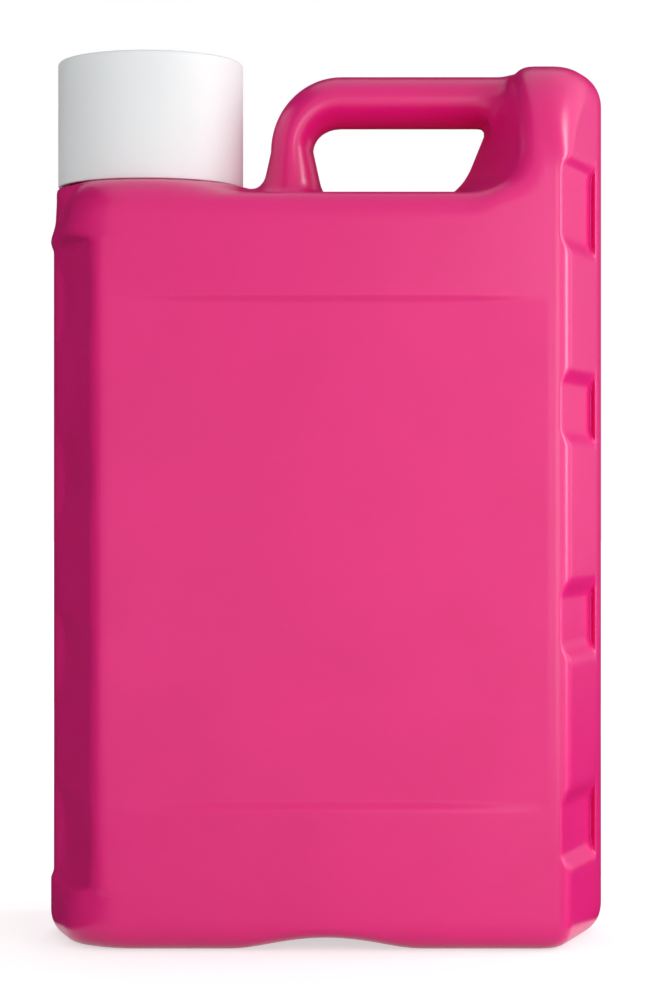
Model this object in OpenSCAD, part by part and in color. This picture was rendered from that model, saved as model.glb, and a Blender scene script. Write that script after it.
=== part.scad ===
/* [Body] */
// Overall width across the mould seam
body_w = 180; // [160:1:220]
// Overall depth, front to back
body_d = 88; // [76:1:110]
// Height of the shoulder above the base
shoulder_h = 236; // [190:1:300]
// Wall thickness of the blown shell
wall = 1.2; // [0.8:0.1:2]
// Sideways run of the slanted side faces
bevel_run = 16; // [12:1:22]
// Half width of the flat strip along the mould seam
seam_flat = 3; // [2:0.5:6]
// Radius of the upright edges of the front and back panels
edge_r = 3; // [1.5:0.5:6]
// Radius of the edge round the base
base_r = 8; // [5:0.5:12]
// Radius of the edge round the shoulder
shoulder_r = 8; // [5:0.5:12]

/* [Foot and rim on the neck side] */
// How far the neck side lies back between foot and rim
side_step = 1; // [0.4:0.1:2]
// Height of the foot
foot_h = 20; // [16:1:30]
// Radius of the lower corner of the foot
foot_r = 6; // [4:0.5:12]
// Sideways run of the slanted faces of foot and rim
foot_run = 12; // [8:1:20]
// Radius of the upright edges of foot and rim
foot_edge_r = 12; // [4:0.5:14]
// Height of the rim below the shoulder
rim_h = 13; // [12.5:0.5:18]
// Radius of the upper corner of the rim
rim_r = 12; // [8:0.5:12]
// Height over which foot and rim fade into the side
side_fade = 3; // [2:0.5:5]

/* [Panels and pockets] */
// Height of the lower edge of the label panel
panel_low = 45; // [35:1:60]
// Distance from the shoulder down to the label panel
panel_drop = 33.5; // [25:0.5:60]
// Distance from the upright panel edges to the label panel
panel_margin = 7; // [5:0.5:15]
// Depth of the label panel at its middle
panel_depth = 0.8; // [0.4:0.1:1.5]
// Height of a side pocket's floor
pocket_h = 16; // [12:0.5:20]
// Height of the slope above and below a side pocket's floor
pocket_slope = 4; // [2:0.5:5]
// Depth of a side pocket
pocket_depth = 2; // [1:0.1:3]
// Distance from the mould seam to a side pocket
pocket_rim = 13; // [8:0.5:16]
// Number of pockets on each edge
pocket_count = 4; // [2:1:4]
// Height of the lowest pocket on the neck side
left_pocket_low = 33.5; // [33:0.5:40]
// Distance from the shoulder down to the highest pocket on the neck side
left_pocket_drop = 33.3; // [30:0.1:45]
// Height of the lowest pocket on the handle side
right_pocket_low = 36.4; // [30:0.2:44]
// Distance from the shoulder down to the highest pocket on the handle side
right_pocket_drop = 3.4; // [0:0.2:20]
// Width of the arch under the base
arch_w = 36; // [20:1:60]
// Height of the arch under the base
arch_h = 3; // [1.5:0.5:5]

/* [Handle and tower] */
// Thickness of the handle, seen from the front
grip_t = 16.5; // [13:0.5:20]
// Depth of the handle, front to back
grip_d = 27; // [20:1:34]
// Clear height of the finger opening
grip_h = 24.5; // [20:0.5:32]
// Clear width of the finger opening along the shoulder
grip_w = 45; // [40:1:55]
// Gap between the cap and the handle
post_gap = 8; // [4:0.5:12]
// How many times wider the handle's post is at its root
post_flare = 1.25; // [1:0.05:1.4]
// Radius of the handle's bend, at its middle line
bend_r = 16.5; // [13:0.5:20]
// Height of the tower above the handle
crown = 1; // [0.5:0.5:4]
// Half depth of the tower's flat top
crown_half = 16; // [10:1:22]
// Radius of the tower's outer corner
tower_r = 12; // [8:0.5:16]
// Sideways lean of the tower's inner side over its height, at the seam
tower_lean = 17; // [8:1:20]
// How far the tower's upright front edge stands beyond the top of its inner side
tower_step = 1.5; // [0.5:0.5:4]
// Radius of the tower's upright edges
tower_edge_r = 8; // [4:0.5:10]
// Height of the fillet at the foot of the tower
tower_fillet = 5; // [3:0.5:8]

/* [Cap, neck and spout] */
// Diameter of the dosing cap
cap_d = 60; // [52:1:66]
// Height of the dosing cap
cap_h = 40.4; // [34:0.2:50]
// Wall thickness of the dosing cap
cap_wall = 1.4; // [1:0.1:2]
// Radius of the cap's top edge
cap_r = 1.2; // [0.8:0.1:4]
// Distance from the cap to the side of the bottle
cap_margin = 3; // [2:0.5:6]
// Height of the seat that carries the cap, above the shoulder
seat_h = 4.8; // [3:0.2:8]
// How far the seat stands out past the cap
seat_lip = 0.5; // [0:0.1:1]
// Wall thickness of the neck
neck_wall = 2; // [1.5:0.1:3]
// Height of the neck above the seat
neck_h = 10; // [8:0.5:14]
// Wall thickness of the pouring insert
spout_wall = 1.4; // [1:0.1:2]
// Outer diameter of the pouring tube
tube_d = 27; // [20:1:30]
// Height of the pouring tube above the neck
tube_h = 18; // [12:0.5:22]
// Drop of the pouring tube's slanted lip
tube_slant = 9; // [4:0.5:10]
// Depth of the insert's plug inside the neck
plug_h = 9; // [6:0.5:12]
// Width of the slot that drains into the bottle
drain_w = 7; // [4.5:0.5:10]
// Height of the collar that carries the cap's thread, above the neck
collar_rise = 7; // [4:0.5:10]
// Clearance between insert and neck
fit_gap = 0.15; // [0.1:0.05:0.3]
// Clearance between cap and insert
thread_gap = 1.2; // [0.8:0.1:2]
// Clearance under the cap's rim
rim_gap = 0.2; // [0.1:0.05:0.4]
// Clearance under the insert's collar
collar_gap = 1; // [0.5:0.1:2]

/* [Hidden] */
$fn = 72;
overlap = 1;

half_w = body_w / 2;
half_d = body_d / 2;
neck_x = cap_margin + cap_d / 2 - half_w;
seat_z = shoulder_h + seat_h;
seat_r = cap_d / 2 + seat_lip;
collar_r = cap_d / 2 - cap_wall - thread_gap;
neck_r = collar_r - spout_wall - fit_gap;
bore_r = neck_r - neck_wall;
neck_top = seat_z + neck_h;
post_x = neck_x + cap_d / 2 + post_gap + grip_t / 2;
bar_z = shoulder_h + grip_h + grip_t / 2;
tower_z = bar_z + grip_t / 2 + crown;
flank_x = post_x + grip_t / 2 + grip_w;
tower_front = flank_x + tower_lean + tower_step;
label_edge = half_w - bevel_run;
foot_edge = half_w - foot_run;
rim_z = shoulder_h - rim_h;
panel_high = shoulder_h - panel_drop;
dome_z = shoulder_h + tower_fillet;

// Number of straight steps in a small and in a large rounded corner
SMALL_STEPS = 2;
CORNER_STEPS = 4;
// Number of rings in a rounded edge
EDGE_RINGS = 5;
DOME_RINGS = 7;
GRIP_SIDES = 20;
POST_RINGS = 2;
BEND_RINGS = 8;
PANEL_STEPS = 12;

function mix(a, b, share) = a + (b - a) * share;
function ramp(v, low, high) = let (s = min(1, max(0, (v - low) / (high - low)))) s * s * (3 - 2 * s);
function unit(v) = v / norm(v);
function turned(v, a) = [v.x * cos(a) - v.y * sin(a), v.x * sin(a) + v.y * cos(a)];
function flipped(points) = [for (i = [len(points) - 1 : -1 : 0]) [points[i].x, -points[i].y]];
function lifted(points, z) = [for (p = points) [p.x, p.y, z]];

// Arc that rounds the corner c between its neighbours p and n
function corner(p, c, n, r, steps) =
    let (
        a = unit(p - c),
        b = unit(n - c),
        half = acos(a * b) / 2,
        centre = c + unit(a + b) * r / sin(half),
        start = c + a * r / tan(half) - centre,
        turn = 180 - 2 * half
    )
    [for (i = [0 : steps]) centre + turned(start, turn * i / steps)];

// Distance that a rounded edge of radius r moves a wall of inset t, at the height up above its start
function edge_inset(up, r, t) = up <= 0 ? t : r - sqrt(max(0, pow(r - t, 2) - up * up));
function base_inset(z, r, t) = edge_inset(r - z, r, t);
function top_inset(z, r, t) = edge_inset(z - shoulder_h + r, r, t);

// Corners of one slanted side: its seam flat and its panel edge, moved in from the side and the front
function side_corners(reach, flat, edge, depth, side_in, front_in) =
    let (
        sign = reach > edge ? 1 : -1,
        seam = [reach, -flat],
        face = [edge, -depth] - seam,
        inward = unit([-sign * abs(face.y), abs(face.x)]),
        start = seam + inward * side_in,
        seam_x = reach - sign * side_in,
        front_y = front_in - depth
    )
    [start + face * (seam_x - start.x) / face.x, start + face * (front_y - start.y) / face.y];

// Closed ring: the front half, from the left seam over two turns to the right seam, and its mirror image
function ring(left, left_turn, mid_turn, right, right_r, z) =
    let (
        left_back = [left[0].x, -left[0].y],
        right_back = [right[0].x, -right[0].y],
        front = concat(
            corner(left_back, left[0], left[1], edge_r, SMALL_STEPS),
            left_turn,
            mid_turn,
            corner(mid_turn[CORNER_STEPS], right[1], right[0], right_r, CORNER_STEPS),
            corner(right[1], right[0], right_back, edge_r, SMALL_STEPS)
        )
    )
    lifted(concat(front, flipped(front)), z);

// Ring of the body at height z, with its wall moved in by t
function body_ring(z, t) =
    let (
        foot = 1 - ramp(z, foot_h - side_fade, foot_h),
        rim = ramp(z, rim_z - side_fade, rim_z),
        full = max(foot, rim),
        side_in = max(base_inset(z, foot_r, t), top_inset(z, rim_r, t)),
        front_in = max(base_inset(z, base_r, t), top_inset(z, shoulder_r, t)),
        left = side_corners(
            mix(side_step - half_w, -half_w, full), seam_flat,
            mix(2 * side_step - label_edge, -foot_edge, full),
            half_d, side_in, front_in),
        right_in = base_inset(z, base_r, t),
        right = side_corners(half_w, seam_flat, label_edge, half_d, right_in, right_in),
        left_r = mix(edge_r, foot_edge_r, full),
        left_turn = corner(left[0], left[1], [flank_x, left[1].y], left_r, CORNER_STEPS),
        mid_turn = [for (i = [0 : CORNER_STEPS])
            let (s = i / CORNER_STEPS)
            [mix(flank_x, tower_front + tower_edge_r / 2, s), mix(front_in, right_in, ramp(s, 0, 1)) - half_d]]
    )
    ring(left, left_turn, mid_turn, right, edge_r, z);

// Ring of the tower at height z, with its wall moved in by t
function tower_ring(z, t) =
    let (
        up = z - shoulder_h,
        height = tower_z - shoulder_h,
        flare = tower_fillet * pow(max(0, 1 - up / tower_fillet), 2),
        flank = flank_x + tower_lean * up / height - flare,
        dome = sqrt(max(0, 1 - pow(max(0, z - dome_z) / (tower_z - dome_z), 2))),
        depth = mix(crown_half, half_d, dome),
        share = depth / half_d,
        outer = half_w - edge_inset(z - tower_z + tower_r, tower_r, 0),
        round = mix(edge_r, tower_edge_r, ramp(z, shoulder_h, dome_z + tower_fillet)) * share,
        // The inner side's wall is thicker where it meets the shoulder
        left_in = t * (1 + max(0, 1 - up / tower_fillet)),
        // The inner side leans at the seam and stands upright at the front
        front_x = mix(flank, tower_front, share),
        left = side_corners(flank, seam_flat, front_x, depth, left_in, left_in),
        right = side_corners(outer, seam_flat, outer - bevel_run * share, depth, t, t),
        mid_turn = corner(left[0], left[1], right[1], tower_edge_r * share, CORNER_STEPS),
        left_turn = [for (i = [0 : CORNER_STEPS]) mix(left[0], mid_turn[0], (i + 1) / (CORNER_STEPS + 2))]
    )
    ring(left, left_turn, mid_turn, right, round, z - t);

// Rings of the whole blown shape, with its wall moved in by t
function shell_rings(t) =
    let (
        base = [for (i = [0 : EDGE_RINGS]) base_r - (base_r - t) * cos(90 * i / EDGE_RINGS)],
        sides = [foot_h - side_fade, foot_h - side_fade / 2, foot_h,
            rim_z - side_fade, rim_z - side_fade / 2, rim_z],
        top = [for (i = [0 : EDGE_RINGS])
            shoulder_h - rim_r + (rim_r - t) * sin(90 * i / EDGE_RINGS)],
        foot = [for (i = [1 : EDGE_RINGS]) shoulder_h + tower_fillet * i / EDGE_RINGS],
        dome = [for (i = [1 : DOME_RINGS]) dome_z + (tower_z - dome_z) * sin(90 * i / DOME_RINGS)]
    )
    concat(
        [for (z = concat(base, sides, top)) body_ring(z, t)],
        [for (z = concat(foot, dome)) tower_ring(z, t)]
    );

// Closed skin over a list of rings with equal numbers of points
module skin(rings) {
    count = len(rings[0]);
    last = len(rings) - 1;
    function at(j, i) = j * count + i % count;
    // Each square is split so that the front and back halves mirror each other
    walls = [for (j = [0 : last - 1], i = [0 : count - 1])
        let (near = [at(j, i), at(j + 1, i)], far = [at(j, i + 1), at(j + 1, i + 1)])
        each 2 * i < count
            ? [[near[0], near[1], far[0]], [far[0], near[1], far[1]]]
            : [[near[0], near[1], far[1]], [near[0], far[1], far[0]]]];
    floor_face = [for (i = [0 : count - 1]) i];
    top_face = [for (i = [count - 1 : -1 : 0]) at(last, i)];
    polyhedron([for (r = rings) each r], concat([floor_face], walls, [top_face]));
}

// One section of the handle, set square to its path
function grip_ring(x, z, a, half_t, half_depth) =
    [for (i = [0 : GRIP_SIDES - 1])
        let (s = half_t * cos(360 * i / GRIP_SIDES), y = half_depth * sin(360 * i / GRIP_SIDES))
        [x + s * sin(a), y, z - s * cos(a)]];

// Hollow handle: a flared post, a round bend and a bar that runs into the tower
module grip(t) {
    half_t = grip_t / 2 - t;
    half_depth = grip_d / 2 - t;
    bend_z = bar_z - bend_r;
    root_z = shoulder_h - 2 * wall;
    post = [for (i = [POST_RINGS : -1 : 0])
        let (s = i / POST_RINGS, flare = mix(1, post_flare, s * s))
        grip_ring(post_x, mix(bend_z, root_z, s), 90, half_t * flare, half_depth * flare)];
    bend = [for (i = [1 : BEND_RINGS]) let (a = 90 * i / BEND_RINGS)
        grip_ring(post_x + bend_r * (1 - cos(a)), bend_z + bend_r * sin(a), 90 - a, half_t, half_depth)];
    bar = [grip_ring(half_w - bevel_run - tower_r, bar_z, 0, half_t, half_depth)];
    skin(concat(post, bend, bar));
}

module at_neck() {
    translate([neck_x, 0, 0]) children();
}

// Seat for the cap and the neck above it
module neck_outside() {
    at_neck() {
        translate([0, 0, shoulder_h - shoulder_r]) cylinder(r = seat_r, h = seat_h + shoulder_r);
        translate([0, 0, seat_z - overlap]) cylinder(r = neck_r, h = neck_h + overlap);
    }
}

module neck_inside() {
    at_neck() {
        low = shoulder_h - shoulder_r - overlap;
        translate([0, 0, low]) cylinder(r = seat_r - wall, h = seat_z - wall - low);
        translate([0, 0, seat_z - 2 * wall]) cylinder(r = bore_r, h = neck_h + 2 * wall + overlap);
    }
}

// Cuts for one row of side pockets on the front half, grown by t for the inside of the shell; their floors
// slope from front_depth at the panel edge to the full depth
module pocket_row(seam_x, edge_x, low, drop, front_depth, t) {
    pitch = (shoulder_h - drop - low) / (pocket_count - 1);
    face = [seam_x - edge_x, half_d - seam_flat];
    outward = seam_x > edge_x ? -1 : 1;
    length = norm(face) - pocket_rim + seam_flat + t;
    depth = front_depth + t;
    tilt = -outward * atan((pocket_depth - front_depth) / length);
    half_floor = pocket_h / 2 + t;
    spread = half_floor + pocket_slope * (depth + half_d) / pocket_depth;
    profile = [[-outward * depth, -half_floor], [-outward * depth, half_floor],
        [outward * half_d, spread], [outward * half_d, -spread]];
    for (i = [0 : pocket_count - 1])
        translate([edge_x, -half_d, low + i * pitch])
            rotate([90, 0, 90 + atan2(face.y, face.x) + tilt])
                translate([0, 0, length - body_d])
                    linear_extrude(body_d) polygon(profile);
}

module pockets(t) {
    for (back = [0, 1]) mirror([0, back, 0]) {
        pocket_row(side_step - half_w, 2 * side_step - label_edge, left_pocket_low, left_pocket_drop, 0, t);
        pocket_row(half_w, label_edge, right_pocket_low, right_pocket_drop, pocket_depth, t);
    }
}

// Shallow hollow of the label panel on the front and on the back, grown by t
module panels(t) {
    half_panel = label_edge - panel_margin;
    hollow = [for (i = [0 : PANEL_STEPS])
        let (s = 2 * i / PANEL_STEPS - 1) [s * half_panel, panel_depth * (1 - s * s) + t - half_d]];
    outline = concat(hollow, [[half_panel, -body_d], [-half_panel, -body_d]]);
    for (back = [0, 1]) mirror([0, back, 0])
        translate([0, 0, panel_low - t])
            linear_extrude(panel_high - panel_low + 2 * t) polygon(outline);
}

// Arch under the base, from front to back, grown by t
module arch(t) {
    r = (pow(arch_w / 2, 2) + arch_h * arch_h) / (2 * arch_h);
    translate([0, body_d, arch_h - r])
        rotate([90, 0, 0]) cylinder(r = r + t, h = 2 * body_d);
}

// Hollow of the bottle, which keeps an even wall behind pockets, panels and arch
module cavity() {
    difference() {
        union() {
            skin(shell_rings(wall));
            grip(wall);
            neck_inside();
        }
        pockets(wall);
        panels(wall);
        arch(wall);
    }
}

// Blown bottle with its handle and neck
module bottle() {
    color([0.88, 0.26, 0.52])
        difference() {
            union() {
                skin(shell_rings(0));
                grip(0);
                neck_outside();
            }
            pockets(0);
            panels(0);
            arch(0);
            cavity();
        }
}

// Pouring insert: a collar over the neck, a plug in it and a slanted tube that drains back
module pour_spout() {
    skirt_in = neck_r + fit_gap;
    plug_r = bore_r - fit_gap;
    tube_r = tube_d / 2;
    deck = neck_top + spout_wall;
    tube_top = neck_top + tube_h + overlap;
    cut = tube_r + 2 * overlap;
    color([0.95, 0.95, 0.94]) at_neck() difference() {
        rotate_extrude() polygon([
            [skirt_in, seat_z + collar_gap], [collar_r, seat_z + collar_gap],
            [collar_r, deck + collar_rise], [collar_r - spout_wall, deck + collar_rise],
            [collar_r - spout_wall, deck], [tube_r, deck - spout_wall / 2],
            [tube_r, tube_top], [tube_r - spout_wall, tube_top],
            [tube_r - spout_wall, neck_top - plug_h / 2], [tube_r, neck_top - plug_h / 2],
            [tube_r, neck_top - spout_wall], [plug_r - spout_wall, neck_top - spout_wall],
            [plug_r - spout_wall, neck_top - plug_h], [plug_r, neck_top - plug_h],
            [plug_r, neck_top], [skirt_in, neck_top]
        ]);
        translate([0, 0, neck_top + tube_h])
            rotate([0, atan(tube_slant / tube_d), 0])
                translate([-cut, -cut, -tube_slant / 2]) cube([2 * cut, 2 * cut, tube_d]);
        translate([tube_r - 2 * spout_wall, -drain_w / 2, neck_top - plug_h - overlap])
            cube([3 * spout_wall, drain_w, plug_h + tube_h]);
    }
}

// Dosing cap, a plain cup turned over the insert
module dosing_cap() {
    r = cap_d / 2;
    inner_r = r - cap_wall;
    rim = seat_z + rim_gap;
    top = rim + cap_h;
    color([0.9, 0.9, 0.9, 0.7]) at_neck() rotate_extrude() difference() {
        union() {
            translate([0, rim]) square([r, cap_h - cap_r]);
            translate([0, rim]) square([r - cap_r, cap_h]);
            translate([r - cap_r, top - cap_r]) circle(cap_r);
        }
        translate([-overlap, rim - overlap]) square([inner_r + overlap, cap_h - cap_wall + overlap]);
        translate([-cap_d, rim]) square([cap_d, cap_h]);
    }
}

bottle();
pour_spout();
dosing_cap();
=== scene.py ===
import math

import bpy
import numpy as np
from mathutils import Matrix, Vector


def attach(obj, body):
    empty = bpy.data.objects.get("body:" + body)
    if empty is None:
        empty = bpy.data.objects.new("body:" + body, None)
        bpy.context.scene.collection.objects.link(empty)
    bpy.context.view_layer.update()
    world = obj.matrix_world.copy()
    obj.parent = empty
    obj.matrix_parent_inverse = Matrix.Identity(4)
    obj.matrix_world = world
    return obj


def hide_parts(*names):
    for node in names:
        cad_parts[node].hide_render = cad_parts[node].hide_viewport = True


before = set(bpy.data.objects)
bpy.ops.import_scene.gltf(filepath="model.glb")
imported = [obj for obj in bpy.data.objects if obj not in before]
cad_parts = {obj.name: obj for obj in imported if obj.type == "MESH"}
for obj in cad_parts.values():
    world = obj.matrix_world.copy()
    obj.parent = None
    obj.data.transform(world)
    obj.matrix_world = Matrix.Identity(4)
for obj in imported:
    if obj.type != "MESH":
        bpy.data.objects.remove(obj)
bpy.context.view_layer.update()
MM = 0.001

# Sizes of the blown shell, in millimetres
HALF_W, HALF_D, SHOULDER = 90.0, 44.0, 236.0
SEAM_FLAT = 3.0
LEFT_EDGE, RIGHT_EDGE = -72.0, 75.0
NECK_X, SEAT_R, SEAT_TOP = -57.0, 30.5, 240.1
NECK_R, BORE_R, NECK_TOP = 25.85, 23.85, 250.8
POST_X, BAR_Z, BEND_R = -11.0, 268.9, 16.0
GRIP_HALF_T, GRIP_HALF_D, POST_HALF_T = 8.25, 13.5, 6.9
TOWER_TOP, DOME_Z, CROWN = 278.0, 241.0, 16.0
FLANK_X, FLANK_LEAN, FLANK_FRONT = 42.5, 17.0 / 42.0, 62.0
FLANK_STRETCH = 1.12
SEAT_LOW, BORE_LOW, NECK_BITE, MESH_STEP = 222.0, 216.0, 0.6, 0.9
GRIP_END, GRIP_LOW = 62.0, 228.0
POST_FLARE, DEPTH_FLARE, FLARE_RUN = 0.22, 0.22, 18.6
ARCH_HALF, ARCH_RISE = 18.5, 3.2

# Label hollow: where it lies, how deep it is at its ends and how much deeper at the middle, and its two steps
LABEL_MID, LABEL_HALF_H, LABEL_HALF_W = 123.75, 78.75, 68.0
LABEL_DEEP, LABEL_BOWL = 1.4, 0.4
LABEL_FOOT, LABEL_HEAD = (43.6, 46.6), (200.8, 203.4)

# Neck side: it is set back between its foot and its rim, and drawn in above the rim
SET_BACK, RIM_EDGE, DRAW_IN = 1.0, 12.0 - HALF_W, 2.4
FOOT_TOP, RIM_LOW, DRAW_RUN = (17.0, 20.0), (220.0, 223.5), (223.5, 230.5)
LEFT_SEAM = SET_BACK - HALF_W

# Radii of the rounded edges and fillets
SEAM_ROUND, LEFT_ROUND, RIM_ROUND = 3.5, 3.6, 14.0
RIGHT_ROUND, TOWER_ROUND, TOWER_RUN = 3.8, 11.5, (242.0, 274.0)
SHOULDER_ROUND, FLANK_ROUND = 9.5, 5.0
BASE_ROUND, FOOT_ROUND, ARCH_ROUND = 9.4, 7.0, 5.0
FLANK_FILLET, FRONT_FILLET, SEAT_FILLET, HILL_REACH = 12.0, 14.0, 2.5, 47.0
POST_FILLET, BAR_FILLET, BAR_FRONT_FILLET = 7.0, 3.0, 9.0

# Grip pockets: how deep, how far they reach from the front edge, how their end leans, and their rounding
POCKET_DEEP = 2.1
RIGHT_REACH, RIGHT_LEAN, RIGHT_SOFT, RIGHT_RIM = 35.3, 0.9, 0.7, 0.8
LEFT_REACH, LEFT_LEAN, LEFT_SOFT, LEFT_SLOPE = 36.5, -1.5, 2.0, 5.0
LEFT_DEEP, LEFT_START, LEFT_RUN = 1.6, 9.0, 25.0
# Floor from, floor to, slope above and slope below, in millimetres of height
RIGHT_POCKETS = [
    (29.6, 45.6, 4.4, 4.0),
    (94.3, 110.3, 4.4, 4.0),
    (161.0, 176.0, 4.4, 4.0),
    (221.0, 243.0, 4.2, 4.0),
]
# Floor from and floor to
LEFT_POCKETS = [(25.8, 42.6), (82.2, 99.6), (138.5, 156.0), (194.0, 211.0)]


def ramp(v, low, high):
    s = np.clip((v - low) / (high - low), 0, 1)
    return s * s * (3 - 2 * s)


def mix(a, b, share):
    return a + (b - a) * share


def meet(a, b, r):
    """Where both shapes hold, with the edge between them rounded over about r."""
    h = np.maximum(r - np.abs(a - b), 0) / r
    return np.maximum(a, b) + h * h * r / 4


def join(a, b, r):
    """Either shape, with a fillet of about r in the corner between them."""
    return -meet(-a, -b, r)


def sides(x, ay, z):
    """Front and back panels, dome of the tower and slanted sides."""
    # Label hollow: deepest at the middle line, with a step above and below
    bowl = LABEL_DEEP + LABEL_BOWL * np.clip(1 - ((z - LABEL_MID) / LABEL_HALF_H) ** 2, 0, 1)
    across = np.clip(1 - (x / LABEL_HALF_W) ** 2, 0, 1)
    hollow = bowl * across * ramp(z, *LABEL_FOOT) * (1 - ramp(z, *LABEL_HEAD))
    flat_front = ay - HALF_D + hollow
    run, rise = HALF_D - CROWN, TOWER_TOP - DOME_Z
    u, w = np.maximum(ay - CROWN, 0), np.maximum(z - DOME_Z, 0)
    k0 = np.sqrt((u / run) ** 2 + (w / rise) ** 2)
    k1 = np.sqrt((u / run ** 2) ** 2 + (w / rise ** 2) ** 2) + 1e-9
    dome = np.where(ay < CROWN, z - TOWER_TOP, k0 * (k0 - 1) / k1)
    front = np.where(z > DOME_Z, dome, flat_front)

    bevel = right_bevel(x, ay)
    right = meet(bevel, x - HALF_W, SEAM_ROUND)
    right = meet(front, right, mix(RIGHT_ROUND, TOWER_ROUND, ramp(z, *TOWER_RUN)))

    full = np.maximum(1 - ramp(z, *FOOT_TOP), ramp(z, *RIM_LOW))
    # Above its rim the shoulder draws in to the cap seat
    seam = mix(LEFT_SEAM, -HALF_W, full) + DRAW_IN * ramp(z, *DRAW_RUN)
    edge = mix(LEFT_EDGE, RIM_EDGE, full)
    slant = slanted(x, ay, seam, edge)
    left = meet(slant, seam - x, SEAM_ROUND)
    return meet(right, left, mix(LEFT_ROUND, RIM_ROUND, full))


def right_bevel(x, ay):
    """Distance to the slanted side at the tower."""
    run, rise = HALF_W - RIGHT_EDGE, HALF_D - SEAM_FLAT
    return (rise * (x - HALF_W) + run * (ay - SEAM_FLAT)) / math.hypot(run, rise)


def slanted(x, ay, seam, edge):
    """Distance to the slanted side at the neck, from its seam to its front edge."""
    run, rise = edge - seam, HALF_D - SEAM_FLAT
    return (rise * (seam - x) + run * (ay - SEAM_FLAT)) / np.sqrt(run * run + rise * rise)


def pocket(depth, along, z, low, high, top_slope, foot_slope, floor_depth, end_lean, soft):
    """Scoop in a slanted side: a flat floor with a slope above and below it and a wall at its end."""
    rise = depth + floor_depth
    above = (z - high - top_slope * rise / POCKET_DEEP) / math.hypot(1, top_slope / POCKET_DEEP)
    below = (low - z - foot_slope * rise / POCKET_DEEP) / math.hypot(1, foot_slope / POCKET_DEEP)
    end = (along + end_lean * rise) / math.hypot(1, end_lean)
    return meet(meet(meet(above, below, soft), end, soft), -rise, soft)


def down_slope(beyond, ay, run):
    """Distance from the front edge along a slanted side that runs back over the given width."""
    rise = HALF_D - SEAM_FLAT
    return (beyond * run + (HALF_D - ay) * rise) / math.hypot(run, rise)


def shell(x, y, z):
    """Signed distance, about right near the surface, to the outside of the blown shell."""
    ay = np.abs(y)
    around = sides(x, ay, z)

    # The flank of the tower leans at the seam and stands upright at the front
    forward = np.clip((ay - SEAM_FLAT) / (HALF_D - SEAM_FLAT), 0, 1)
    flank = mix(FLANK_X + FLANK_LEAN * (z - SHOULDER), FLANK_FRONT, forward) - x
    flank = flank / FLANK_STRETCH
    # The shoulder rises to the seat, with no ledge between the front and the cap
    neck_rim = np.hypot(x - NECK_X, y)
    hill = SHOULDER + (SEAT_TOP - SHOULDER) * (1 - ramp(neck_rim, SEAT_R + 1, HILL_REACH))
    above = join(z - hill, flank, mix(FLANK_FILLET, FRONT_FILLET, forward))
    left_side = 1 - ramp(x, -84, -70)
    edge_r = mix(mix(SHOULDER_ROUND, FLANK_ROUND, ramp(x, 44, 56)), RIM_ROUND, left_side)
    solid = meet(around, above, edge_r)
    solid = meet(solid, -z, mix(BASE_ROUND, FOOT_ROUND, left_side))

    seat = meet(meet(neck_rim - SEAT_R, z - SEAT_TOP, 0.8), SEAT_LOW - z, 4.0)
    solid = join(solid, seat, SEAT_FILLET)

    bend_x, bend_z = POST_X + BEND_R, BAR_Z - BEND_R
    off = np.where(z < bend_z, bend_x - x - BEND_R,
                   np.where(x > bend_x, z - BAR_Z, np.hypot(x - bend_x, z - bend_z) - BEND_R))
    # The bar gets slimmer round the bend, and the post flares again towards its foot
    turn = np.arctan2(np.maximum(z - bend_z, 0), np.maximum(bend_x - x, 1e-6))
    drop = np.maximum(bend_z - z, 0)
    a = mix(POST_HALF_T, GRIP_HALF_T, ramp(turn, 0, math.pi / 2)) + POST_FLARE * drop
    b = GRIP_HALF_D * (1 + DEPTH_FLARE * np.clip(drop / FLARE_RUN, 0, 1.2) ** 2)
    k0 = np.sqrt((off / a) ** 2 + (y / b) ** 2)
    k1 = np.sqrt((off / a ** 2) ** 2 + (y / b ** 2) ** 2) + 1e-9
    grip = np.where(k0 < 0.05, -GRIP_HALF_T, k0 * (k0 - 1) / k1)
    grip = meet(meet(grip, x - GRIP_END, 4.0), GRIP_LOW - z, 4.0)
    low_front = ramp(ay, 6, 12) * (1 - ramp(z, BAR_Z - 2, BAR_Z + 4))
    grip_fillet = mix(POST_FILLET, mix(BAR_FILLET, BAR_FRONT_FILLET, low_front), ramp(x, 24, 40))
    solid = join(solid, grip, grip_fillet)

    depth = right_bevel(x, ay)
    along = down_slope(x - RIGHT_EDGE, ay, HALF_W - RIGHT_EDGE)
    for low, high, upper, lower in RIGHT_POCKETS:
        scoop = pocket(depth, along - RIGHT_REACH, z, low, high, upper, lower,
                       POCKET_DEEP, RIGHT_LEAN, RIGHT_SOFT)
        solid = meet(solid, -scoop, RIGHT_RIM)
    depth = slanted(x, ay, LEFT_SEAM, LEFT_EDGE)
    along = down_slope(LEFT_EDGE - x, ay, LEFT_EDGE - LEFT_SEAM)
    # On this side the floors get deeper from near the front edge towards the seam
    deep = LEFT_DEEP * np.clip((along - LEFT_START) / LEFT_RUN, -1, 1)
    for low, high in LEFT_POCKETS:
        scoop = pocket(depth, along - LEFT_REACH, z, low, high, LEFT_SLOPE, LEFT_SLOPE,
                       deep, LEFT_LEAN, LEFT_SOFT)
        solid = meet(solid, -scoop, LEFT_SOFT)

    arch_r = (ARCH_HALF ** 2 + ARCH_RISE ** 2) / (2 * ARCH_RISE)
    solid = meet(solid, arch_r - np.hypot(x, z - ARCH_RISE + arch_r), ARCH_ROUND)

    # The thin wall of the neck stands in this hole as a turned ring
    bore = meet(neck_rim - BORE_R - NECK_BITE, BORE_LOW - z, 2.0)
    return meet(solid, -bore, 0.6)


def steps(*runs):
    """Grid lines through (start, end, spacing) runs that follow each other."""
    lines = [np.linspace(a, b, max(2, int(round((b - a) / s)) + 1))[:-1] for a, b, s in runs]
    return np.concatenate(lines + [[runs[-1][1]]])


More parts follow.
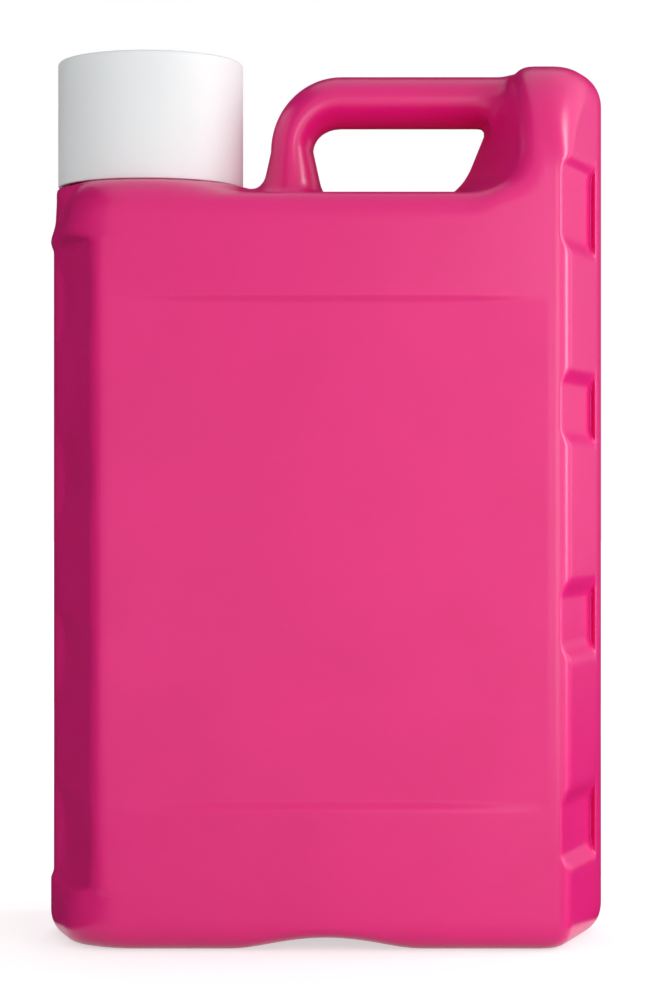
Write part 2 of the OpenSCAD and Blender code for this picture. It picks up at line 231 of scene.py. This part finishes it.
def net(field, xs, ys, zs):
    """Closed quad mesh over the surface where the field is zero."""
    values = field(xs[:, None, None], ys[None, :, None], zs[None, None, :])
    values = np.broadcast_to(values, (len(xs), len(ys), len(zs)))
    inside = values < 0
    cells = tuple(n - 1 for n in values.shape)
    total, count = np.zeros(cells + (3,)), np.zeros(cells)
    axes = (xs, ys, zs)
    for axis in range(3):
        near = [slice(None)] * 3
        far = [slice(None)] * 3
        near[axis], far[axis] = slice(0, -1), slice(1, None)
        a, b = values[tuple(near)], values[tuple(far)]
        crosses = (a < 0) != (b < 0)
        share = np.where(crosses, a / np.where(crosses, a - b, 1), 0)
        spot = []
        for k in range(3):
            line = axes[k].reshape([-1 if k == j else 1 for j in range(3)])
            spot.append(np.broadcast_to(line, values.shape)[tuple(near)])
        gap = np.diff(axes[axis]).reshape([-1 if k == axis else 1 for k in range(3)])
        spot[axis] = spot[axis] + share * gap
        others = [k for k in range(3) if k != axis]
        for p in (0, 1):
            for q in (0, 1):
                cut = [slice(None)] * 3
                for k, side in zip(others, (p, q)):
                    cut[k] = slice(side, side + cells[k])
                hit = crosses[tuple(cut)]
                count += hit
                for k in range(3):
                    total[..., k] += np.where(hit, spot[k][tuple(cut)], 0)
    used = count > 0
    index = np.full(cells, -1)
    index[used] = np.arange(used.sum())
    points = total[used] / count[used][:, None]
    faces = []
    for axis in range(3):
        u, v = (axis + 1) % 3, (axis + 2) % 3
        near = [slice(1, -1)] * 3
        far = [slice(1, -1)] * 3
        near[axis], far[axis] = slice(0, -1), slice(1, None)
        a, b = inside[tuple(near)], inside[tuple(far)]
        for mask, order in ((a & ~b, 1), (~a & b, -1)):
            spot = np.argwhere(mask)
            spot[:, u] += 1
            spot[:, v] += 1
            quad = []
            for du, dv in ((-1, -1), (0, -1), (0, 0), (-1, 0)):
                cell = spot.copy()
                cell[:, u] += du
                cell[:, v] += dv
                quad.append(index[cell[:, 0], cell[:, 1], cell[:, 2]])
            quad = np.stack(quad, 1)
            faces.append(quad if order > 0 else quad[:, ::-1])
    return points, np.concatenate(faces)


def slope(field, points, h=0.04):
    """Which way the field grows at each point, and how fast."""
    parts = []
    for axis in range(3):
        step = np.zeros(3)
        step[axis] = h
        parts.append((field(*(points + step).T) - field(*(points - step).T)) / (2 * h))
    return np.stack(parts, 1)


def settle(field, points, turns=4):
    """Move points along the slope onto the surface."""
    for _ in range(turns):
        g = slope(field, points)
        size = np.maximum((g * g).sum(1), 0.05)
        move = (field(*points.T) / size)[:, None] * g
        points = points - np.clip(move, -1.0, 1.0)
    return points


def mesh_object(name, points, faces, normals=None):
    mesh = bpy.data.meshes.new(name)
    mesh.from_pydata((points * MM).tolist(), [], faces)
    mesh.polygons.foreach_set("use_smooth", [True] * len(mesh.polygons))
    mesh.update()
    if normals is not None:
        mesh.normals_split_custom_set_from_vertices(normals.tolist())
    obj = bpy.data.objects.new(name, mesh)
    bpy.context.scene.collection.objects.link(obj)
    return obj


def blown_shell():
    xs = steps((-92, -70, 1.1), (-70, 40, 2.0), (40, 70, 1.5), (70, 92, 1.1))
    half = steps((0, 7, 1.4), (7, 14.2, 0.8), (14.2, 38, 1.7), (38, 46, 1.1))
    ys = np.concatenate([-half[:0:-1], half])
    zs = steps((-2, 12, 1.2), (12, 198, 1.5), (198, 206, 1.0), (206, 280, 1.4))
    points, faces = net(shell, xs, ys, zs)
    points = settle(shell, points)
    normals = slope(shell, points)
    normals /= np.linalg.norm(normals, axis=1)[:, None]
    corners = [(BORE_R, SHOULDER), (NECK_R, SHOULDER), (NECK_R, NECK_TOP), (BORE_R, NECK_TOP)]
    ring = rounded(corners, [0.3, 0.3, 0.5, 0.5])
    neck, neck_faces = turned(filled(ring, MESH_STEP))
    normals = np.concatenate([normals, facing(neck, neck_faces)])
    points, faces = both((points, faces.tolist()), (neck, neck_faces))
    return mesh_object("blown_shell", points, faces, normals)


def facing(points, faces):
    """Normals at the points of a mesh with four-sided faces."""
    faces = np.array(faces)
    corner = points[faces]
    across = np.cross(corner[:, 2] - corner[:, 0], corner[:, 3] - corner[:, 1])
    total = np.zeros_like(points)
    for k in range(4):
        np.add.at(total, faces[:, k], across)
    return total / np.linalg.norm(total, axis=1)[:, None]


def turned(profile, turns=160, bump=None, gap=0.0):
    """Closed profile (radius, height) turned about the neck axis, open at +X by the gap on each side."""
    profile = np.array(profile, float)
    n = len(profile)
    angle = np.linspace(gap, 2 * math.pi - gap, turns, endpoint=gap > 0)
    r = np.broadcast_to(profile[:, 0][None, :], (turns, n))
    z = np.broadcast_to(profile[:, 1][None, :], (turns, n))
    if bump is not None:
        r = r + bump(r, angle[:, None], z)
    points = np.stack([NECK_X + r * np.cos(angle)[:, None], r * np.sin(angle)[:, None], z], -1)
    i, j = np.meshgrid(np.arange(turns - (gap > 0)), np.arange(n), indexing="ij")
    nxt, up = (i + 1) % turns, (j + 1) % n
    faces = np.stack([i * n + j, nxt * n + j, nxt * n + up, i * n + up], -1).reshape(-1, 4).tolist()
    if gap > 0:
        last = (turns - 1) * n
        faces += [list(range(n)), list(range(last + n - 1, last - 1, -1))]
    return points.reshape(-1, 3), faces


def both(one, two):
    """Points and faces of two shapes in one mesh."""
    start = len(one[0])
    return np.concatenate([one[0], two[0]]), one[1] + [[k + start for k in face] for face in two[1]]


def rounded(corners, radii, arc=6):
    """Closed profile with each corner rounded by its radius."""
    corners = [Vector(c) for c in corners]
    out = []
    for k, c in enumerate(corners):
        p, n = corners[k - 1], corners[(k + 1) % len(corners)]
        r = radii[k]
        if r <= 0:
            out.append(tuple(c))
            continue
        a, b = (p - c).normalized(), (n - c).normalized()
        half = math.acos(max(-1, min(1, a.dot(b)))) / 2
        reach = min(r / math.tan(half), (p - c).length * 0.49, (n - c).length * 0.49)
        for s in range(arc + 1):
            t = s / arc
            first, last = c + a * reach, c + b * reach
            out.append(tuple((1 - t) ** 2 * first + 2 * t * (1 - t) * c + t * t * last))
    return out


def filled(points, longest):
    """The same closed profile with no step longer than the given length."""
    out = []
    for k, p in enumerate(points):
        q = points[(k + 1) % len(points)]
        d = math.dist(p, q)
        parts = max(1, math.ceil(d / longest))
        out += [(p[0] + (q[0] - p[0]) * s / parts, p[1] + (q[1] - p[1]) * s / parts) for s in range(parts)]
    return out


THREAD_PITCH = 5.0


def thread(low, high, height, near_r, outward):
    """Ridge that winds up a wall of radius near_r, fading at both ends."""
    def bump(r, angle, z):
        phase = (z - low) / THREAD_PITCH - angle / (2 * math.pi)
        tooth = np.clip(np.cos(2 * math.pi * phase) * 1.6 - 0.6, 0, 1)
        fade = ramp(z, low, low + 1.5) * (1 - ramp(z, high - 1.5, high))
        return outward * height * tooth * fade * (np.abs(r - near_r) < 0.05)
    return bump


def socket(node, name, value):
    node.inputs[name].default_value = value


def plain_material(name):
    material = bpy.data.materials.new(name)
    material.use_nodes = True
    nodes, links = material.node_tree.nodes, material.node_tree.links
    bsdf = nodes["Principled BSDF"]
    place = nodes.new("ShaderNodeTexCoord")
    return material, nodes, links, bsdf, place.outputs["Object"]


def noise(nodes, links, place, scale, detail=3.0, rough=0.5):
    node = nodes.new("ShaderNodeTexNoise")
    socket(node, "Scale", scale)
    socket(node, "Detail", detail)
    socket(node, "Roughness", rough)
    links.new(place, node.inputs["Vector"])
    return node.outputs["Fac"]


def two_tone(nodes, links, share, dark, light, low=0.3, high=0.7):
    node = nodes.new("ShaderNodeValToRGB")
    node.color_ramp.elements[0].position = low
    node.color_ramp.elements[1].position = high
    node.color_ramp.elements[0].color = (*dark, 1)
    node.color_ramp.elements[1].color = (*light, 1)
    links.new(share, node.inputs["Fac"])
    return node.outputs["Color"]


def bumped(nodes, links, bsdf, height, strength, distance):
    node = nodes.new("ShaderNodeBump")
    socket(node, "Strength", strength)
    socket(node, "Distance", distance)
    links.new(height, node.inputs["Height"])
    links.new(node.outputs["Normal"], bsdf.inputs["Normal"])


def pink_plastic():
    material, nodes, links, bsdf, place = plain_material("pink_plastic")
    cloud = noise(nodes, links, place, 28.0)
    colour = two_tone(nodes, links, cloud, (0.70, 0.0075, 0.177), (0.74, 0.0095, 0.193))
    links.new(colour, bsdf.inputs["Base Color"])
    socket(bsdf, "Roughness", 0.32)
    socket(bsdf, "IOR", 1.5)
    socket(bsdf, "Specular IOR Level", 0.5)
    socket(bsdf, "Subsurface Weight", 0.25)
    socket(bsdf, "Subsurface Radius", (0.004, 0.0008, 0.0016))
    socket(bsdf, "Subsurface Scale", 1.0)
    grain = noise(nodes, links, place, 1400.0, 2.0)
    bumped(nodes, links, bsdf, grain, 0.06, 0.0002)
    seam_line(nodes, links, place, bsdf)
    return material


def seam_line(nodes, links, place, bsdf):
    """Fine ridge where the two mould halves met, all round at mid depth."""
    parts = nodes.new("ShaderNodeSeparateXYZ")
    links.new(place, parts.inputs[0])
    off = nodes.new("ShaderNodeMath")
    off.operation = "ABSOLUTE"
    links.new(parts.outputs["Y"], off.inputs[0])
    ridge = nodes.new("ShaderNodeMapRange")
    ridge.interpolation_type = "SMOOTHSTEP"
    socket(ridge, "From Min", 0.0001)
    socket(ridge, "From Max", 0.0006)
    socket(ridge, "To Min", 1.0)
    socket(ridge, "To Max", 0.0)
    links.new(off.outputs[0], ridge.inputs["Value"])
    grain = bsdf.inputs["Normal"].links[0].from_node
    node = nodes.new("ShaderNodeBump")
    socket(node, "Strength", 0.6)
    socket(node, "Distance", 0.0002)
    links.new(ridge.outputs["Result"], node.inputs["Height"])
    links.new(grain.outputs["Normal"], node.inputs["Normal"])
    links.new(node.outputs["Normal"], bsdf.inputs["Normal"])


def frosted_plastic():
    material, nodes, links, bsdf, place = plain_material("frosted_plastic")
    cloud = noise(nodes, links, place, 60.0)
    colour = two_tone(nodes, links, cloud, (0.925, 0.955, 0.96), (0.945, 0.975, 0.98))
    links.new(colour, bsdf.inputs["Base Color"])
    socket(bsdf, "Roughness", 0.5)
    socket(bsdf, "IOR", 1.49)
    socket(bsdf, "Transmission Weight", 0.1)
    socket(bsdf, "Specular IOR Level", 0.3)
    socket(bsdf, "Subsurface Weight", 0.1)
    socket(bsdf, "Subsurface Radius", (0.005, 0.005, 0.005))
    socket(bsdf, "Subsurface Scale", 1.0)
    grain = noise(nodes, links, place, 1800.0, 2.0)
    bumped(nodes, links, bsdf, grain, 0.08, 0.0002)
    return material


def white_plastic():
    material, nodes, links, bsdf, place = plain_material("white_plastic")
    cloud = noise(nodes, links, place, 50.0)
    colour = two_tone(nodes, links, cloud, (0.84, 0.84, 0.82), (0.88, 0.88, 0.86))
    links.new(colour, bsdf.inputs["Base Color"])
    socket(bsdf, "Roughness", 0.4)
    grain = noise(nodes, links, place, 1500.0, 2.0)
    bumped(nodes, links, bsdf, grain, 0.05, 0.0002)
    return material


def dress(obj, material, body, node):
    obj.data.materials.append(material)
    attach(obj, body)
    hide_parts(node)


bottle = blown_shell()
dress(bottle, pink_plastic(), "bottle", "bottle")

# Dosing cap: a cup of even wall, upside down over the insert, with its thread inside
CAP_R, CAP_IN, CAP_LOW, CAP_TOP, CAP_WALL = 30.0, 28.6, 241.0, 281.4, 1.4
AXIS_R, THREAD_HIGH = 0.02, 0.45
cap_corners = [
    (AXIS_R, CAP_TOP - CAP_WALL), (CAP_IN, CAP_TOP - CAP_WALL), (CAP_IN, CAP_LOW),
    (CAP_R, CAP_LOW), (CAP_R, CAP_TOP), (AXIS_R, CAP_TOP),
]
cap_profile = filled(rounded(cap_corners, [0, 1.0, 0.3, 0.5, 1.2, 0]), MESH_STEP)
cap = mesh_object("dosing_cup", *turned(cap_profile, bump=thread(243.0, 257.0, THREAD_HIGH, CAP_IN, -1)))
dress(cap, frosted_plastic(), "cap", "dosing_cap")

# Pouring insert: collar over the neck, plug in its bore, deck, and tube with a slanted lip and a drain slot
DECK, LIP, LIP_LEAN, TUBE_TOP = 251.5, 264.3, 1 / 3, 268.8
COLLAR_R, COLLAR_IN, COLLAR_LOW, COLLAR_TOP = 27.4, 26.0, 241.8, 259.2
PLUG_R, PLUG_IN = 23.7, 22.3
TUBE_R, TUBE_IN, SLOT_HALF, SLOT_R = 13.5, 12.1, 3.5, 13.0
collar_corners = [
    (COLLAR_IN, COLLAR_LOW), (COLLAR_R, COLLAR_LOW), (COLLAR_R, COLLAR_TOP), (COLLAR_IN, COLLAR_TOP),
    (COLLAR_IN, 252.2), (14.9, DECK + 0.1), (14.9, 249.4), (PLUG_IN, 249.4),
    (PLUG_IN, COLLAR_LOW), (PLUG_R, COLLAR_LOW), (PLUG_R, NECK_TOP), (COLLAR_IN, NECK_TOP),
]
collar_radii = [0.2, 0.4, 0.6, 0.6, 1.0, 0.3, 0.3, 0.5, 0.5, 0.3, 0.4, 0]
collar_profile = filled(rounded(collar_corners, collar_radii), MESH_STEP)
tube_corners = [
    (15.2, 249.5), (15.2, DECK), (TUBE_R, DECK), (TUBE_R, TUBE_TOP),
    (TUBE_IN, TUBE_TOP), (TUBE_IN, 246.3), (TUBE_R, 246.3), (TUBE_R, 249.5),
]
tube_radii = [0, 0, 0.8, 0.3, 0.3, 0.3, 0.3, 0.5]
tube_profile = filled(rounded(tube_corners, tube_radii), MESH_STEP)
tube, tube_faces = turned(tube_profile, gap=math.asin(SLOT_HALF / SLOT_R))
# The lip of the tube slants down towards the drain slot
rise = (LIP - LIP_LEAN * (tube[:, 0] - NECK_X) - DECK) / (TUBE_TOP - DECK)
tube[:, 2] = np.where(tube[:, 2] > DECK, DECK + (tube[:, 2] - DECK) * rise, tube[:, 2])
collar = turned(collar_profile, bump=thread(243.0, 258.5, THREAD_HIGH, COLLAR_R, 1))
spout = mesh_object("pouring_insert", *both(collar, (tube, tube_faces)))
dress(spout, white_plastic(), "bottle", "pour_spout")


def floor():
    """White floor: plain white to the camera away from the object, and near it the object's soft shadow."""
    size = 8.0
    mesh = bpy.data.meshes.new("floor")
    corners = [(-size, -size, 0), (size, -size, 0), (size, size, 0), (-size, size, 0)]
    mesh.from_pydata(corners, [], [(0, 1, 2, 3)])
    obj = bpy.data.objects.new("floor", mesh)
    bpy.context.scene.collection.objects.link(obj)
    material = bpy.data.materials.new("floor_white")
    material.use_nodes = True
    nodes, links = material.node_tree.nodes, material.node_tree.links
    bsdf = nodes["Principled BSDF"]
    socket(bsdf, "Base Color", (0.58, 0.58, 0.58, 1))
    socket(bsdf, "Roughness", 0.9)
    socket(bsdf, "Specular IOR Level", 0.0)
    place = nodes.new("ShaderNodeTexCoord")
    away = nodes.new("ShaderNodeVectorMath")
    away.operation = "LENGTH"
    links.new(place.outputs["Object"], away.inputs[0])
    lift = nodes.new("ShaderNodeMapRange")
    lift.interpolation_type = "SMOOTHSTEP"
    socket(lift, "From Min", 0.3)
    socket(lift, "From Max", 1.0)
    socket(lift, "To Min", 0.58)
    socket(lift, "To Max", 1.0)
    links.new(away.outputs["Value"], lift.inputs["Value"])
    seen = nodes.new("ShaderNodeMath")
    seen.operation = "MULTIPLY"
    links.new(lift.outputs["Result"], seen.inputs[0])
    links.new(seen_rays(nodes, links), seen.inputs[1])
    socket(bsdf, "Emission Color", (1, 1, 1, 1))
    links.new(seen.outputs[0], bsdf.inputs["Emission Strength"])
    obj.data.materials.append(material)


def seen_rays(nodes, links):
    """1 on rays that show the background: from the camera, off a gloss or through clear plastic."""
    path = nodes.new("ShaderNodeLightPath")
    total = path.outputs["Is Camera Ray"]
    for name in ("Is Glossy Ray", "Is Transmission Ray"):
        node = nodes.new("ShaderNodeMath")
        node.operation = "MAXIMUM"
        links.new(total, node.inputs[0])
        links.new(path.outputs[name], node.inputs[1])
        total = node.outputs[0]
    return total


def white_world(strength):
    world = bpy.data.worlds.new("white_world")
    bpy.context.scene.world = world
    world.use_nodes = True
    nodes, links = world.node_tree.nodes, world.node_tree.links
    level = nodes.new("ShaderNodeMapRange")
    socket(level, "To Min", strength)
    socket(level, "To Max", 1.0)
    links.new(seen_rays(nodes, links), level.inputs["Value"])
    socket(nodes["Background"], "Color", (1, 1, 1, 1))
    links.new(level.outputs["Result"], nodes["Background"].inputs["Strength"])


def area_light(name, place, target, size, power, mirrored=True, spread=True):
    """Soft lamp, which may be left out of reflections or of the light on dull surfaces."""
    light = bpy.data.lights.new(name, "AREA")
    light.shape = "RECTANGLE"
    light.size, light.size_y = size
    light.energy = power
    obj = bpy.data.objects.new(name, light)
    obj.location = place
    obj.rotation_euler = (Vector(target) - Vector(place)).to_track_quat("-Z", "Y").to_euler()
    obj.visible_camera = False
    obj.visible_glossy = mirrored
    obj.visible_diffuse = spread
    bpy.context.scene.collection.objects.link(obj)


def dark_card(place, target, size):
    """Black card that only reflections show, so that a side facing it doesn't mirror white."""
    w, h = size[0] / 2, size[1] / 2
    mesh = bpy.data.meshes.new("dark_card")
    mesh.from_pydata([(-w, -h, 0), (w, -h, 0), (w, h, 0), (-w, h, 0)], [], [(0, 1, 2, 3)])
    obj = bpy.data.objects.new("dark_card", mesh)
    obj.location = place
    obj.rotation_euler = (Vector(target) - Vector(place)).to_track_quat("-Z", "Y").to_euler()
    bpy.context.scene.collection.objects.link(obj)
    material = bpy.data.materials.new("card_black")
    material.use_nodes = True
    socket(material.node_tree.nodes["Principled BSDF"], "Base Color", (0.01, 0.01, 0.01, 1))
    socket(material.node_tree.nodes["Principled BSDF"], "Specular IOR Level", 0.0)
    mesh.materials.append(material)
    obj.visible_camera = False
    obj.visible_shadow = False
    obj.visible_diffuse = False
    obj.visible_transmission = False


floor()
white_world(0.44)
area_light("key", (0.34, -0.36, 0.13), (0.0, 0.0, 0.11), (0.25, 0.45), 1.2, mirrored=False)
area_light("front", (0.28, -0.82, 0.12), (0.0, 0.0, 0.14), (0.2, 0.6), 2.0)
area_light("fill", (-0.50, -0.42, 0.36), (0.0, 0.0, 0.20), (0.4, 0.5), 0.88, mirrored=False)
area_light("edge_strip", (0.95, -0.26, 0.50), (0.0, 0.0, 0.18), (0.22, 0.9), 10.0, spread=False)
area_light("side", (0.95, 0.10, 0.45), (0.0, 0.0, 0.16), (0.3, 0.9), 4.6, mirrored=False)
area_light("back", (-0.1, 0.85, 0.45), (0.0, 0.0, 0.14), (0.6, 0.6), 3.4, mirrored=False)
# Beside the neck, behind it, and on the floor behind and on both sides
dark_card((-0.55, 0.0, 0.7), (0.0, 0.0, 0.7), (1.8, 1.8))
dark_card((-0.44, 0.65, 0.4), (-0.44, 0.0, 0.4), (2.12, 1.2))
dark_card((0.0, 0.80, 0.001), (0.0, 0.80, 1.0), (3.2, 1.5))
for side in (-0.842, 0.842):
    dark_card((side, -0.13, 0.001), (side, -0.13, 1.0), (1.5, 0.4))

camera_data = bpy.data.cameras.new("camera")
camera_data.lens = 94.0
camera_data.sensor_width = 36.0
camera = bpy.data.objects.new("camera", camera_data)
camera.location = (-0.00016, -0.850, 0.1398)
camera.rotation_euler = (math.pi / 2, 0, 0)
bpy.context.scene.collection.objects.link(camera)
bpy.context.scene.camera = camera
bpy.context.scene.view_settings.view_transform = "Standard"
